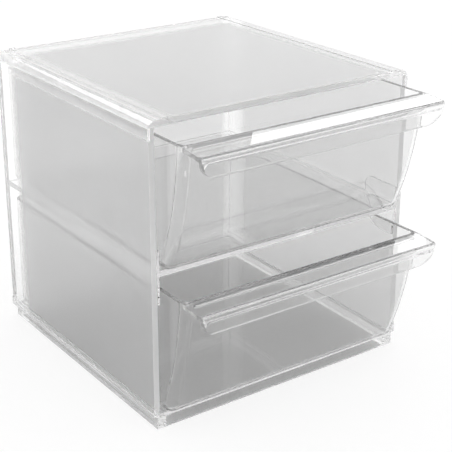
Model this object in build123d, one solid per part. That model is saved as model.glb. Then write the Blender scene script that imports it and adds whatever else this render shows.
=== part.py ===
from build123d import *
import os
from math import atan2, cos, hypot, radians, sin, sqrt, tan

# A stackable desk cube with two pull-out drawers, moulded in clear plastic. Millimetres.
# X runs across the front, -Y is the front that the drawers pull out of, and +Z is up.
# The origin is the middle of the whole object's footprint, on the surface it stands on.

# Case, over its outside
case_width = 152.4
case_depth = 150.0
case_height = 152.4         # up to the roof's top face
wall = 3.0                  # side and back walls
roof_thickness = 3.1
floor_thickness = 3.0
wall_inset = 0.4            # the walls stand this far inside the cap and the base
cap_edge_radius = 5.0       # long left and right edges of the roof

# Joints of the case: the cap and the base lap over the walls' stepped edges
cap_drop = 8.8              # the cap's skirts, below the roof's top face
lap_wall = 1.6              # thickness of the skirts and of the base's rim
seam = 0.1                  # bond line between two pieces of the case
floor_height = 8.0          # the case floor's top face
rim_height = 2.9            # the base's rim, above the floor

# Plinth under the base, and the ridges on the roof that locate the plinth of a unit above
plinth_height = 6.5
plinth_inset = 2.0
runner_width = 5.4
sill_thickness = 2.0        # cross walls between the runners, front and rear
ridge_gap = 0.3             # from a ridge to the runner of the unit above
ridge_width = 3.2
ridge_height = 0.6

# Middle shelf, with a cheek against each side wall
shelf_thickness = 3.0
cheek_thickness = 1.2
cheek_depth = 22.5
cheek_above = 10.2          # above the shelf's top face
cheek_below = 13.8          # below the shelf's underside
cheek_upper_radius = 5.0
cheek_lower_radius = 17.0

# Drawer, one moulding: a tray, its leaning front and the handle's lip and flap
upper_headroom = 4.2        # above the upper drawer, up to the roof
lower_headroom = 6.5        # above the lower drawer, up to the shelf
drawer_wall = 2.0
drawer_floor = 2.0
drawer_corner_radius = 5.0  # upright corners, outside
drawer_foot_radius = 4.5    # around the floor, outside
rim_round = 0.5
foot_reach = 3.6            # the front's lower edge, in front of the case
rim_reach = 19.4            # the front's upper edge, in front of the case
front_bulge = 3.1           # the front swells this far from its chord
slide_gap = 0.3             # under a drawer
side_gap = 0.4              # between a drawer and each cheek
back_gap = 0.6              # behind a drawer

# Handle of a drawer: a lip out from the rim, and a flap that hangs from it
handle_reach = 33.2         # the foremost point, in front of the case
handle_width = 141.6
handle_thickness = 2.2
handle_height = 12.9        # from the rim down to the flap's free edge
lip_slope = 4.5             # degrees, down towards the front
flap_lean = 22.7            # degrees, back from upright
fold_radius = 3.0           # outside of the fold between lip and flap
flap_corner_radius = 12.1
lip_corner_radius = 3.0     # at each end of the fold, seen from above
lip_root_radius = 3.0       # in the corner between the lip and the front

# Places worked out from the sizes
half_width = case_width / 2
front_y = handle_reach - (case_depth + handle_reach) / 2
rear_y = front_y + case_depth
side_out_x = half_width - wall_inset
side_in_x = side_out_x - wall
back_out_y = rear_y - wall_inset
back_in_y = back_out_y - wall
lap_x = half_width - lap_wall
lap_y = rear_y - lap_wall
base_joint_z = floor_height + rim_height
cap_joint_z = case_height - cap_drop
roof_z = case_height - roof_thickness
spare_height = roof_z - floor_height - shelf_thickness - upper_headroom - lower_headroom
drawer_height = spare_height / 2 - slide_gap
shelf_underside = floor_height + slide_gap + drawer_height + lower_headroom
shelf_height = shelf_underside + shelf_thickness
plinth_x = half_width - plinth_inset
runner_in_x = plinth_x - runner_width
drawer_half_width = side_in_x - seam - cheek_thickness - side_gap
drawer_rear_y = back_in_y - back_gap


def block(x, y, z):
    """A box between the (low, high) pair given on each axis."""
    corner = (Align.MIN, Align.MIN, Align.MIN)
    return Pos(x[0], y[0], z[0]) * Box(x[1] - x[0], y[1] - y[0], z[1] - z[0], align=corner)


def rounded_face(corners):
    """A face in the YZ plane from (y, z, radius) corners, each corner rounded by its radius."""
    outline = [(y, z) for y, z, radius in corners]
    face = make_face(Polyline(*outline, close=True))
    for y, z, radius in corners:
        if radius > 0:
            vertex = face.vertices().sort_by_distance((y, z, 0))[0]
            face = fillet(vertex, radius)
    return Plane.YZ * face


def across(face, half):
    """A face of the YZ plane, drawn out to the same distance left and right."""
    return extrude(face, amount=half, both=True)


# The case

def case_top():
    """The cap: roof plate, skirts on three sides, and the two stacking ridges."""
    shell = block((-half_width, half_width), (front_y, rear_y), (cap_joint_z, case_height))
    long_edges = shell.edges().filter_by(Axis.Y).group_by(Axis.Z)[-1]
    shell = fillet(long_edges, cap_edge_radius)
    hollow = block((-lap_x, lap_x), (front_y - wall, lap_y), (cap_joint_z - wall, roof_z))
    cap = shell - hollow
    ridge_x = runner_in_x - ridge_gap
    for low_x in (-ridge_x, ridge_x - ridge_width):
        cap += block((low_x, low_x + ridge_width), (front_y, rear_y), (roof_z, case_height + ridge_height))
    return cap


def case_base():
    """The base: floor, rim around three sides, and a hollow plinth with a runner each side."""
    band = block((-half_width, half_width), (front_y, rear_y), (plinth_height, base_joint_z))
    well = block((-lap_x, lap_x), (front_y - wall, lap_y), (floor_height, base_joint_z + wall))
    plinth_rear_y = rear_y - plinth_inset
    plinth = block((-plinth_x, plinth_x), (front_y, plinth_rear_y), (0, plinth_height))
    hollow_y = (front_y + sill_thickness, plinth_rear_y - sill_thickness)
    hollow = block((-runner_in_x, runner_in_x), hollow_y, (-wall, floor_height - floor_thickness))
    return band + plinth - well - hollow


def case_wall(x, y):
    """A wall between two bounds, stepped back where the cap and the base lap over it."""
    z = (floor_height + seam, roof_z - seam)
    shoulder_z = (base_joint_z + seam, cap_joint_z - seam)
    tongue = block((seam - lap_x, lap_x - seam), (front_y, lap_y - seam), z)
    shoulder = block((-half_width, half_width), (front_y, rear_y), shoulder_z)
    return block(x, y, z) & (tongue + shoulder)


def left_side_wall():
    return case_wall((-side_out_x, -side_in_x), (front_y, back_out_y))


def right_side_wall():
    return case_wall((side_in_x, side_out_x), (front_y, back_out_y))


def back_wall():
    return case_wall((seam - side_in_x, side_in_x - seam), (back_in_y, back_out_y))


def middle_shelf():
    """The shelf under the upper drawer, with a cheek flat against each side wall."""
    reach_x = side_in_x - seam
    shelf = block((-reach_x, reach_x), (front_y, back_in_y - seam), (shelf_underside, shelf_height))
    low_z = shelf_underside - cheek_below
    high_z = shelf_height + cheek_above
    cheek_y = front_y + cheek_depth
    lower_radius = min(cheek_lower_radius, 0.95 * cheek_depth)
    corners = [
        (front_y, low_z, 0),
        (cheek_y, low_z, lower_radius),
        (cheek_y, high_z, cheek_upper_radius),
        (front_y, high_z, 0),
    ]
    pair = across(rounded_face(corners), reach_x)
    inner_x = reach_x - cheek_thickness
    gap = block((-inner_x, inner_x), (front_y - wall, rear_y), (0, case_height))
    return shelf + (pair - gap)


# The drawers

chord = hypot(rim_reach - foot_reach, drawer_height)
front_radius = (chord ** 2 / 4 + front_bulge ** 2) / (2 * front_bulge)


def front_reach(z, inset=0.0):
    """How far the front's face stands out of the case at a height, or a face set in from it."""
    lean = atan2(rim_reach - foot_reach, drawer_height)
    depth = front_radius - front_bulge
    centre_reach = (foot_reach + rim_reach) / 2 - depth * cos(lean)
    centre_z = drawer_height / 2 + depth * sin(lean)
    return centre_reach + sqrt((front_radius - inset) ** 2 - (z - centre_z) ** 2)


def tray_solid(inset, low_z, high_z, corner_radius, foot_radius):
    """The tray's outer form, set in by a wall for its inside, rounded below and at its corners."""
    middle_z = (low_z + high_z) / 2
    foot = (front_y - front_reach(low_z, inset), low_z)
    middle = (front_y - front_reach(middle_z, inset), middle_z)
    rim = (front_y - front_reach(high_z, inset), high_z)
    back_y = drawer_rear_y - inset
    front = ThreePointArc(foot, middle, rim)
    outline = front + Polyline(rim, (back_y, high_z), (back_y, low_z), foot)
    solid = across(Plane.YZ * make_face(outline), drawer_half_width - inset)
    upright = solid.edges().filter_by(lambda edge: abs(edge.tangent_at(0.5).Z) > 0.5)
    solid = fillet(upright, corner_radius)
    floor_edges = solid.edges().group_by(Axis.Z)[0]
    return fillet(floor_edges, foot_radius)


def lip_underside(reach):
    """Height of the lip's lower face above the drawer's underside, some way out from the case."""
    slope = radians(lip_slope)
    return drawer_height - (reach - rim_reach) * tan(slope) - handle_thickness / cos(slope)


def lip_root():
    """The rounded inner corner under the lip, along the straight part of the front."""
    end_reach = rim_reach + 2 * lip_root_radius
    low_z = lip_underside(rim_reach) - 2 * lip_root_radius
    buried = rim_reach - drawer_wall / 2
    corners = [
        (buried, drawer_height - handle_thickness / 2, 0),
        (end_reach, lip_underside(end_reach) + handle_thickness / 2, 0),
        (end_reach, lip_underside(end_reach), 0),
        (rim_reach, lip_underside(rim_reach), lip_root_radius),
        (front_reach(low_z), low_z, 0),
        (buried, low_z, 0),
    ]
    face = rounded_face([(front_y - reach, z, radius) for reach, z, radius in corners])
    return across(face, drawer_half_width - drawer_corner_radius)


def handle():
    """The lip that runs out from the rim, and the flap folded down from it."""
    slope = radians(lip_slope)
    lean = radians(flap_lean)
    # From the outer faces of lip and flap to their inner faces, as (reach, height) unit vectors
    lip_in = (-sin(slope), -cos(slope))
    flap_in = (-cos(lean), sin(lean))
    # From the corner that the outer faces would meet in, to that of faces set in by 1 mm
    span = 1 + lip_in[0] * flap_in[0] + lip_in[1] * flap_in[1]
    inwards = ((lip_in[0] + flap_in[0]) / span, (lip_in[1] + flap_in[1]) / span)
    fold = handle_reach - fold_radius * (1 + inwards[0])
    fold_z = drawer_height - (fold - rim_reach) * tan(slope)
    fold_in = fold + handle_thickness * inwards[0]
    fold_in_z = fold_z + handle_thickness * inwards[1]
    edge_z = drawer_height - handle_height
    edge = fold - (fold_z - edge_z) * tan(lean)
    edge_in = edge + handle_thickness * flap_in[0]
    edge_in_z = edge_z + handle_thickness * flap_in[1]
    edge_round = 0.45 * handle_thickness
    root = rim_reach - drawer_corner_radius
    corners = [
        (root, drawer_height, 0),
        (rim_reach, drawer_height, 0),
        (fold, fold_z, fold_radius),
        (edge, edge_z, edge_round),
        (edge_in, edge_in_z, edge_round),
        (fold_in, fold_in_z, max(fold_radius - handle_thickness, 0.2 * fold_radius)),
        (rim_reach, lip_underside(rim_reach), 0),
        (root, lip_underside(rim_reach), 0),
    ]
    face = rounded_face([(front_y - reach, z, radius) for reach, z, radius in corners])
    half = handle_width / 2
    window = block((-half, half), (front_y - handle_reach, front_y), (edge_z, drawer_height))
    lower_edges = window.edges().filter_by(Axis.Y).group_by(Axis.Z)[0]
    window = fillet(lower_edges, min(flap_corner_radius, 0.95 * handle_height))
    end_edges = window.edges().filter_by(Axis.Z).group_by(Axis.Y)[0]
    window = fillet(end_edges, lip_corner_radius)
    return across(face, half) & window


def drawer(bottom_z):
    """A whole drawer, its underside at the given height."""
    outer = tray_solid(0.0, 0.0, drawer_height, drawer_corner_radius, drawer_foot_radius)
    inside_corner = max(drawer_corner_radius - drawer_wall, 0.2 * drawer_corner_radius)
    inside_foot = max(drawer_foot_radius - drawer_floor, 0.2 * drawer_foot_radius)
    above_rim = drawer_height + 2 * drawer_wall
    inside = tray_solid(drawer_wall, drawer_floor, above_rim, inside_corner, inside_foot)
    tray = outer - inside
    tray = fillet(tray.edges().group_by(Axis.Z)[-1], rim_round)
    return Pos(0, 0, bottom_z) * (tray + (handle() + lip_root() - inside))


def upper_drawer():
    return drawer(shelf_height + slide_gap)


def lower_drawer():
    return drawer(floor_height + slide_gap)


nodes = [
    case_top,
    case_base,
    left_side_wall,
    right_side_wall,
    back_wall,
    middle_shelf,
    upper_drawer,
    lower_drawer,
]

os.makedirs("parts", exist_ok=True)
for node in nodes:
    export_step(node(), f"parts/{node.__name__}.step")
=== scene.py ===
# %% [markdown]
# # A clear desk cube with two drawers
# The object is a small stackable cube for a desk, moulded in clear plastic. Its cap, side walls
# and back carry a frosted texture inside clear borders, and its two drawers are clear all over.
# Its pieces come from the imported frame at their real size, and their meshes stay as they are.
# What is left to do here is what the eye reads as plastic: finishes, a pale floor, light and
# the camera.

# %% Load the frame
import math

import bpy
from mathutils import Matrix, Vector


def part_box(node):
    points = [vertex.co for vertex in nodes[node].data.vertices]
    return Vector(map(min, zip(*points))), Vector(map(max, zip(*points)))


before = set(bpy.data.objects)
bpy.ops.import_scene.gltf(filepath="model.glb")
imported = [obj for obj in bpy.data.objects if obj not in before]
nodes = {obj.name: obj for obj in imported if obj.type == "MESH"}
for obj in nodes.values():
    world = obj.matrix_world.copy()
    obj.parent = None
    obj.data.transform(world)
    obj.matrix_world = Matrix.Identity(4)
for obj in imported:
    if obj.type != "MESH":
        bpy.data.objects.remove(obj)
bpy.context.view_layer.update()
MM = 0.001

# %% [markdown]
# ## Places read from the frame
# The finishes follow the moulding, so their borders are worked out from the pieces' own boxes.
# They could be typed in as numbers, but then they would be wrong after a change of size.

# %% Places on the case
roof_low, roof_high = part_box("case_top")
back_low, back_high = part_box("back_wall")
left_inner_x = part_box("left_side_wall")[1].x
right_inner_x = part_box("right_side_wall")[0].x
FRONT_Y = roof_low.y
REAR_Y = roof_high.y
print("case front and rear at", round(FRONT_Y / MM, 1), round(REAR_Y / MM, 1), "mm")
print("inner faces at", round(left_inner_x / MM, 1), round(right_inner_x / MM, 1), "mm")

# %% [markdown]
# ## Three helpers
# Colours are picked as sRGB hex, the way a paint program shows them. Shaders calculate with
# linear light, so one function converts them. Node trees are built with one small function that
# adds a node with its settings and links, so that each material reads as a list of what it is
# made of. A third one starts each material with nothing but its output.


# %% Colour and node helpers
def linear(hex_colour):
    """An sRGB hex colour such as 'F2F4F4' as linear RGBA."""
    channels = [int(hex_colour[i:i + 2], 16) / 255 for i in (0, 2, 4)]
    curve = [c / 12.92 if c <= 0.04045 else ((c + 0.055) / 1.055) ** 2.4 for c in channels]
    return curve + [1.0]


def add_node(tree, kind, settings=None, inputs=None):
    """Adds a node. settings are its properties; inputs are values, or output sockets to link."""
    node = tree.nodes.new(kind)
    for name, value in (settings or {}).items():
        setattr(node, name, value)
    for name, value in (inputs or {}).items():
        if isinstance(value, bpy.types.NodeSocket):
            tree.links.new(value, node.inputs[name])
        else:
            node.inputs[name].default_value = value
    return node


def new_tree(name):
    """An empty material, its node tree and its output node."""
    material = bpy.data.materials.new(name)
    material.use_nodes = True
    material.node_tree.nodes.clear()
    output = add_node(material.node_tree, "ShaderNodeOutputMaterial")
    return material, material.node_tree, output


print("sRGB grey 808080 is", round(linear("808080")[0], 3), "in linear light")

# %% [markdown]
# ## What a piece of clear plastic does with light
# Every piece is a closed solid, so a transmissive shader refracts through the real wall thickness
# and its edges light up by themselves. Two things are added to that.
# Light that runs along inside a wall for centimetres is dimmed a little on its way, which is why
# an edge looks greyer than the face beside it. That is absorption, and it needs a volume shader.
# A lamp would throw a black shadow through such a solid, because its light is only looked for on
# straight lines, and a refracting face bends it. Shadow rays therefore meet a tinted film, which
# lets them pass straight on.

# %% Light through a solid piece
BODY_TINT = linear("F4F4F4")


def clear_body(tree, shader, output, film_tint, density):
    """Gives a shader its absorbing body, and a tinted film in its place for shadow rays."""
    path = add_node(tree, "ShaderNodeLightPath")
    film = add_node(tree, "ShaderNodeBsdfTransparent", inputs={"Color": film_tint})
    surface = add_node(tree, "ShaderNodeMixShader", inputs={
        "Fac": path.outputs["Is Shadow Ray"],
        1: shader.outputs["BSDF"], 2: film.outputs["BSDF"]})
    body = add_node(tree, "ShaderNodeVolumeAbsorption", inputs={
        "Color": BODY_TINT, "Density": density})
    tree.links.new(surface.outputs["Shader"], output.inputs["Surface"])
    tree.links.new(body.outputs["Volume"], output.inputs["Volume"])


print("the plastic absorbs", round(1 - BODY_TINT[0], 3), "of its density, per metre")

# %% [markdown]
# ## Clear polystyrene
# The base, the shelf and the drawers are injection-moulded crystal polystyrene. It is as clear as
# glass and bends light a little more (index of refraction 1.59). The drawers are tinted a shade
# greyer than the case and absorb a little more: that grey is painted shade, for the darker inside
# of the cube, and not a colour of the plastic.
# Its polished walls keep a very slight waviness from the mould, a few microns over some
# centimetres, which shows only in how the lines behind it bend. A thin haze from handling gives
# the gloss some life. Both are noise patterns whose scale is one over a real size, and they are
# far too shallow to be modelled in the mesh.

# %% Clear polystyrene
POLYSTYRENE_IOR = 1.59
CASE_TINT = linear("FEFEFE")
CASE_DENSITY = 12.0
# The drawers' grey tint is painted shade, standing in for the darker inside of the cube.
DRAWER_PAINTED_SHADE_TINT = linear("EFEFEF")
DRAWER_DENSITY = 22.0
CLEAR_FILM = linear("F2F2F2")
HAZE_SIZE = 18 * MM
HAZE_DETAIL = 4.0
HAZE_RANGE = (0.35, 0.7)      # noise below the first value is no haze, above the second all of it
HAZE_ROUGHNESS = 0.015
WAVE_SIZE = 45 * MM
WAVE_DETAIL = 1.0
WAVE_HEIGHT = 0.005 * MM


def clear_polystyrene(name, tint, density):
    """Polished crystal polystyrene, see-through all over."""
    material, tree, output = new_tree("crystal_polystyrene_" + name)
    place = add_node(tree, "ShaderNodeTexCoord")
    haze = add_node(tree, "ShaderNodeTexNoise", inputs={
        "Vector": place.outputs["Object"], "Scale": 1 / HAZE_SIZE, "Detail": HAZE_DETAIL})
    roughness = add_node(tree, "ShaderNodeMapRange", inputs={
        "Value": haze.outputs["Fac"], "From Min": HAZE_RANGE[0], "From Max": HAZE_RANGE[1],
        "To Min": 0.0, "To Max": HAZE_ROUGHNESS})
    wave = add_node(tree, "ShaderNodeTexNoise", inputs={
        "Vector": place.outputs["Object"], "Scale": 1 / WAVE_SIZE, "Detail": WAVE_DETAIL})
    bump = add_node(tree, "ShaderNodeBump", inputs={
        "Height": wave.outputs["Fac"], "Strength": 1.0, "Distance": WAVE_HEIGHT})
    plastic = add_node(tree, "ShaderNodeBsdfPrincipled", inputs={
        "Base Color": tint, "IOR": POLYSTYRENE_IOR, "Transmission Weight": 1.0,
        "Roughness": roughness.outputs["Result"], "Normal": bump.outputs["Normal"]})
    clear_body(tree, plastic, output, CLEAR_FILM, density)
    return material


case_clear = clear_polystyrene("case", CASE_TINT, CASE_DENSITY)
# The drawers' material carries that painted shade in its grey tint.
drawer_clear_painted_shade = clear_polystyrene("drawers", DRAWER_PAINTED_SHADE_TINT, DRAWER_DENSITY)
print("made", case_clear.name, "and", drawer_clear_painted_shade.name)

# %% [markdown]
# ## Masks for a texture in the mould
# A mould is textured in some places and polished in others, so the finish needs a mask that is 1
# in the texture and 0 outside it. An image could hold it, but Object coordinates are metres in
# the frame, so two smooth steps on each axis draw the same border at its real size, with an edge
# as soft as wanted. A field is a box: the (low, high, fade) limits along some of the axes.


# %% Masks from object coordinates
def inside(tree, value, low, high, fade):
    """1 between two limits of a coordinate, fading to 0 over a width at both."""
    rise = add_node(tree, "ShaderNodeMapRange", {"interpolation_type": "SMOOTHSTEP"}, {
        "Value": value, "From Min": low - fade / 2, "From Max": low + fade / 2})
    fall = add_node(tree, "ShaderNodeMapRange", {"interpolation_type": "SMOOTHSTEP"}, {
        "Value": value, "From Min": high + fade / 2, "From Max": high - fade / 2})
    return add_node(tree, "ShaderNodeMath", {"operation": "MULTIPLY"}, {
        0: rise.outputs["Result"], 1: fall.outputs["Result"]}).outputs["Value"]


def box_mask(tree, axes, box):
    """1 inside a box, which maps an axis to its (low, high, fade) limits."""
    mask = 1.0
    for axis, limits in box.items():
        mask = add_node(tree, "ShaderNodeMath", {"operation": "MULTIPLY"}, {
            0: mask, 1: inside(tree, axes.outputs[axis], *limits)}).outputs["Value"]
    return mask


print("made the mask helpers", inside.__name__, "and", box_mask.__name__)

# %% [markdown]
# ## Frosted polystyrene
# The cap, the side walls and the back are the same plastic, but the mould is spark-eroded inside
# a border. That leaves a fine frosted field on the inner face, while the border stays polished.
# Light that crosses the field is spread, so things close behind it show as soft shapes and things
# further off blur away, and a part of it is thrown back as a milky white. The second part is
# diffuse, so a field says which share of the light still passes.
# The grain of the erosion is a tenth of a millimetre, much finer than a pixel, so it is given as
# a roughness. It varies a little over some centimetres, because no texture is quite even. It
# never falls below about 0.28, where the denoiser stops treating a surface as rough: a texture
# that varies across that value comes out blotchy.

# %% Frosted polystyrene
FROST_FILM = linear("EAEAEA")
FROST_ROUGHNESS = (0.285, 0.33)
CLOUD_SIZE = 30 * MM
CLOUD_DETAIL = 2.0
CLOUD_RANGE = (0.3, 0.7)
# The Mix node has an A, a B and a Result for each kind of data; these are the ones for colours
COLOUR_A, COLOUR_B, COLOUR_RESULT = 6, 7, 2


def frosted_polystyrene(name, tint, fields):
    """fields lists (box, the share of the light that passes the texture there)."""
    material, tree, output = new_tree("frosted_polystyrene_" + name)
    place = add_node(tree, "ShaderNodeTexCoord")
    axes = add_node(tree, "ShaderNodeSeparateXYZ", inputs={"Vector": place.outputs["Object"]})
    mask = 0.0
    through = 1.0
    for box, share in fields:
        field = box_mask(tree, axes, box)
        passing = add_node(tree, "ShaderNodeMapRange", inputs={
            "Value": field, "To Min": 1.0, "To Max": share})
        mask = add_node(tree, "ShaderNodeMath", {"operation": "MAXIMUM"}, {
            0: mask, 1: field}).outputs["Value"]
        through = add_node(tree, "ShaderNodeMath", {"operation": "MINIMUM"}, {
            0: through, 1: passing.outputs["Result"]}).outputs["Value"]
    cloud = add_node(tree, "ShaderNodeTexNoise", inputs={
        "Vector": place.outputs["Object"], "Scale": 1 / CLOUD_SIZE, "Detail": CLOUD_DETAIL})
    eroded = add_node(tree, "ShaderNodeMapRange", inputs={
        "Value": cloud.outputs["Fac"], "From Min": CLOUD_RANGE[0], "From Max": CLOUD_RANGE[1],
        "To Min": FROST_ROUGHNESS[0], "To Max": FROST_ROUGHNESS[1]})
    roughness = add_node(tree, "ShaderNodeMath", {"operation": "MULTIPLY"}, {
        0: mask, 1: eroded.outputs["Result"]})
    colour = add_node(tree, "ShaderNodeMix", {"data_type": "RGBA"}, {
        "Factor": mask, COLOUR_A: CASE_TINT, COLOUR_B: tint})
    plastic = add_node(tree, "ShaderNodeBsdfPrincipled", inputs={
        "Base Color": colour.outputs[COLOUR_RESULT], "IOR": POLYSTYRENE_IOR,
        "Transmission Weight": through, "Roughness": roughness.outputs["Value"]})
    clear_body(tree, plastic, output, FROST_FILM, CASE_DENSITY)
    return material


print("the frosted fields have a roughness of", FROST_ROUGHNESS)

# %% [markdown]
# ## Where each frosted field lies
# The field of each frosted piece is given on its inner face alone, so the outer face stays glossy.
# Across the piece a field therefore begins inside the wall and ends beyond its inner face. The
# roof keeps clear borders left, right and rear, and a side wall keeps a clear strip at the rear.
# The front ends of the side walls are matt grey strips, so they are frosted all over.

# %% Frosted fields
FROST_FADE = 10 * MM
FACE_FADE = 0.2 * MM
WALL = 3 * MM
BEYOND = 5 * MM
ROOF_BORDER = 12 * MM
ROOF_TOP = 2 * MM             # the roof's inner face lies between these two depths
ROOF_BOTTOM = 5 * MM
SIDE_STRIP = 16 * MM
BACK_STRIP = 5 * MM

roof_field = {
    "X": (roof_low.x + ROOF_BORDER, roof_high.x - ROOF_BORDER, FROST_FADE),
    "Y": (FRONT_Y + FACE_FADE, REAR_Y - ROOF_BORDER, FROST_FADE),
    "Z": (roof_high.z - ROOF_BOTTOM, roof_high.z - ROOF_TOP, FACE_FADE)}
wall_length = (FRONT_Y - BEYOND, REAR_Y - SIDE_STRIP, FROST_FADE)
left_field = {
    "X": (left_inner_x - WALL / 2, left_inner_x + BEYOND, FACE_FADE),
    "Y": wall_length}
right_field = {
    "X": (right_inner_x - BEYOND, right_inner_x + WALL / 2, FACE_FADE),
    "Y": wall_length}
front_end = {"Y": (FRONT_Y - BEYOND, FRONT_Y + FACE_FADE, FACE_FADE)}
back_field = {
    "X": (back_low.x + BACK_STRIP, back_high.x - BACK_STRIP, BACK_STRIP),
    "Y": (back_low.y - BEYOND, back_low.y + WALL / 2, FACE_FADE)}
print("the side fields end", round(SIDE_STRIP / MM), "mm before the rear")

# %% [markdown]
# ## Finishes on their pieces
# Each CAD node keeps its mesh, and only its material slot changes. The roof is tinted a little
# grey, which is painted shade: it holds the roof down, because it is the one frosted piece that
# faces the lamps.

# %% Assign the finishes
WALL_TINT = linear("FFFFFF")
# The roof's grey tint is painted shade, darkening it where the lamps light it.
ROOF_PAINTED_SHADE_TINT = linear("EBEBEB")
FROST_CLEAR = 0.82
MATT_END_CLEAR = 0.6

finishes = {
    "case_top": frosted_polystyrene("roof", ROOF_PAINTED_SHADE_TINT, [(roof_field, FROST_CLEAR)]),
    "left_side_wall": frosted_polystyrene("left_wall", WALL_TINT, [
        (left_field, FROST_CLEAR), (front_end, MATT_END_CLEAR)]),
    "right_side_wall": frosted_polystyrene("right_wall", WALL_TINT, [
        (right_field, FROST_CLEAR), (front_end, MATT_END_CLEAR)]),
    "back_wall": frosted_polystyrene("back_wall", WALL_TINT, [(back_field, FROST_CLEAR)]),
    "case_base": case_clear,
    "middle_shelf": case_clear,
    "upper_drawer": drawer_clear_painted_shade,
    "lower_drawer": drawer_clear_painted_shade,
}
for name, finish in finishes.items():
    node = nodes[name]
    node.data.materials.clear()
    node.data.materials.append(finish)
    print(name, "is", finish.name)

# %% [markdown]
# ## Table
# A white table runs out under the cube. What the camera sees of it directly glows a little, so
# that it reads as white paper, and it still keeps the cube's soft shadow. Seen through the
# plastic it is only the lit table, so the shade under the cube shows in the drawers' floors.
# It lies a hair below the cube, so that two faces never fight for the same place.

# %% Table
TABLE_SIZE = 6.0
TABLE_DROP = 0.05 * MM
TABLE_TINT = linear("FCFCFC")
TABLE_GLOW = 0.8

bpy.ops.object.select_all(action="DESELECT")
bpy.ops.mesh.primitive_plane_add(size=TABLE_SIZE, location=(0, 0, -TABLE_DROP))
floor = bpy.context.object
floor.name = "table"


def table_white():
    """Matt white laminate, part of which glows for the camera alone."""
    material, tree, output = new_tree("white_laminate_table")
    path = add_node(tree, "ShaderNodeLightPath")
    matt = add_node(tree, "ShaderNodeBsdfDiffuse", inputs={"Color": TABLE_TINT})
    glow = add_node(tree, "ShaderNodeEmission", inputs={"Strength": 1.0})
    share = add_node(tree, "ShaderNodeMath", {"operation": "MULTIPLY"}, {
        0: path.outputs["Is Camera Ray"], 1: TABLE_GLOW})
    surface = add_node(tree, "ShaderNodeMixShader", inputs={
        "Fac": share.outputs["Value"],
        1: matt.outputs["BSDF"], 2: glow.outputs["Emission"]})
    tree.links.new(surface.outputs["Shader"], output.inputs["Surface"])
    return material


floor.data.materials.append(table_white())
print("the table is", TABLE_SIZE, "m wide, in", floor.data.materials[0].name)

# %% [markdown]
# ## World
# The world is a white studio. The camera, reflections and views through the plastic see it
# at a strength of exactly 1, which is white. What matt surfaces get from it is a touch lower, to
# leave room for the lamps.

# %% World
ROOM_LIGHT = 0.98

world = bpy.data.worlds.new("white_studio")
bpy.context.scene.world = world
world.use_nodes = True
tree = world.node_tree
tree.nodes.clear()
path = add_node(tree, "ShaderNodeLightPath")
seen = add_node(tree, "ShaderNodeMath", {"operation": "MAXIMUM"}, {
    0: path.outputs["Is Camera Ray"], 1: path.outputs["Is Glossy Ray"]})
seen = add_node(tree, "ShaderNodeMath", {"operation": "MAXIMUM"}, {
    0: seen.outputs["Value"], 1: path.outputs["Is Transmission Ray"]})
strength = add_node(tree, "ShaderNodeMapRange", inputs={
    "Value": seen.outputs["Value"], "To Min": ROOM_LIGHT, "To Max": 1.0})
white = add_node(tree, "ShaderNodeBackground", inputs={
    "Color": (1, 1, 1, 1), "Strength": strength.outputs["Result"]})
add_node(tree, "ShaderNodeOutputWorld", inputs={"Surface": white.outputs["Background"]})
print(world.name, "lights matt surfaces at", ROOM_LIGHT)

# %% [markdown]
# ## Lamps
# Clear plastic is drawn by its highlights: the fold of a handle, the rounded edges of the cap.
# Three softboxes give them, small and bright rather than large and dim, so that a reflection of
# a few percent still reads as white while the matt surfaces stay at a plain level.
# One is to the right of the cube, where the handles' folds reflect it to the camera. One is
# behind it, for the cap's long edges. The third stands far off to the right and behind, just
# where the slightly sloping lips of the handles mirror it and the level roof doesn't.
# The lamps don't show through the plastic, because a bare white rectangle would stand in it.

# %% Lamps
# name: (width, length, radiance, place), in metres
SOFTBOXES = {
    "softbox_right": (1.1, 0.25, 2.2, (0.6, -0.35, 0.8)),
    "softbox_behind": (0.7, 0.25, 2.5, (-0.25, 0.85, 0.75)),
    "softbox_far": (0.3, 0.4, 2.4, (0.85, 0.79, 0.82)),
}
AIM = Vector((0, 0, 80 * MM))

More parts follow.
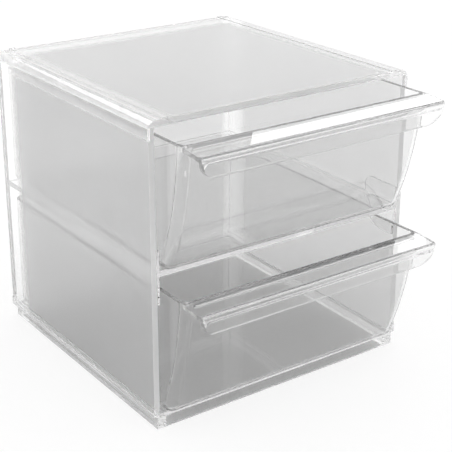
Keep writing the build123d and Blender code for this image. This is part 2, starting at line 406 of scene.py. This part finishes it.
for name, (width, length, radiance, place) in SOFTBOXES.items():
    lamp = bpy.data.lights.new(name, "AREA")
    lamp.shape = "RECTANGLE"
    lamp.size = width
    lamp.size_y = length
    lamp.energy = radiance * math.pi * width * length
    softbox = bpy.data.objects.new(name, lamp)
    bpy.context.collection.objects.link(softbox)
    softbox.location = place
    softbox.rotation_euler = (AIM - softbox.location).to_track_quat("-Z", "Y").to_euler()
    softbox.visible_camera = False
    softbox.visible_transmission = False
    print(name, "gives", round(lamp.energy, 1), "W")

# %% [markdown]
# ## Camera
# The photograph was taken from a little to the left and above with a long lens. The picture is
# 452 pixels square, so a focal length in pixels turns into millimetres on a 36 mm sensor.
# The camera looks at a point above the picture's middle, as in a picture cut from the lower part
# of a larger one. A small vertical shift of the lens gives that without tilting the camera, so
# upright edges stay a little nearer to parallel.

# %% Camera
PICTURE = 452
SENSOR = 36.0
AZIMUTH = -35.39
ELEVATION = 20.37
DISTANCE = 638.2 * MM
FOCAL_PIXELS = 1184.2
TARGET = Vector((18.6 * MM, 16.6 * MM, 82.6 * MM))
VERTICAL_SHIFT = -0.1

azimuth = math.radians(AZIMUTH)
elevation = math.radians(ELEVATION)
towards = Vector((
    math.sin(azimuth) * math.cos(elevation),
    -math.cos(azimuth) * math.cos(elevation),
    math.sin(elevation)))
camera_data = bpy.data.cameras.new("camera")
camera_data.sensor_width = SENSOR
camera_data.lens = FOCAL_PIXELS / PICTURE * SENSOR
camera_data.shift_y = VERTICAL_SHIFT
camera = bpy.data.objects.new("camera", camera_data)
bpy.context.collection.objects.link(camera)
camera.location = TARGET + towards * DISTANCE
camera.rotation_euler = (-towards).to_track_quat("-Z", "Y").to_euler()
bpy.context.scene.camera = camera
bpy.context.scene.view_settings.view_transform = "Standard"
print("lens of", round(camera_data.lens, 1), "mm at", [round(c, 3) for c in camera.location], "m")

# %% [markdown]
# ## Light paths
# A view through both drawers crosses more than a dozen plastic faces, and light that runs inside
# an edge is reflected there many times. Paths that are cut short come out black, so the limits
# are raised until the edges are as bright as the room.

# %% Light paths through many clear walls
BOUNCES = 256

cycles = bpy.context.scene.cycles
cycles.max_bounces = BOUNCES
cycles.transmission_bounces = BOUNCES
cycles.glossy_bounces = BOUNCES
cycles.transparent_max_bounces = BOUNCES
print("a light path may turn", BOUNCES, "times")
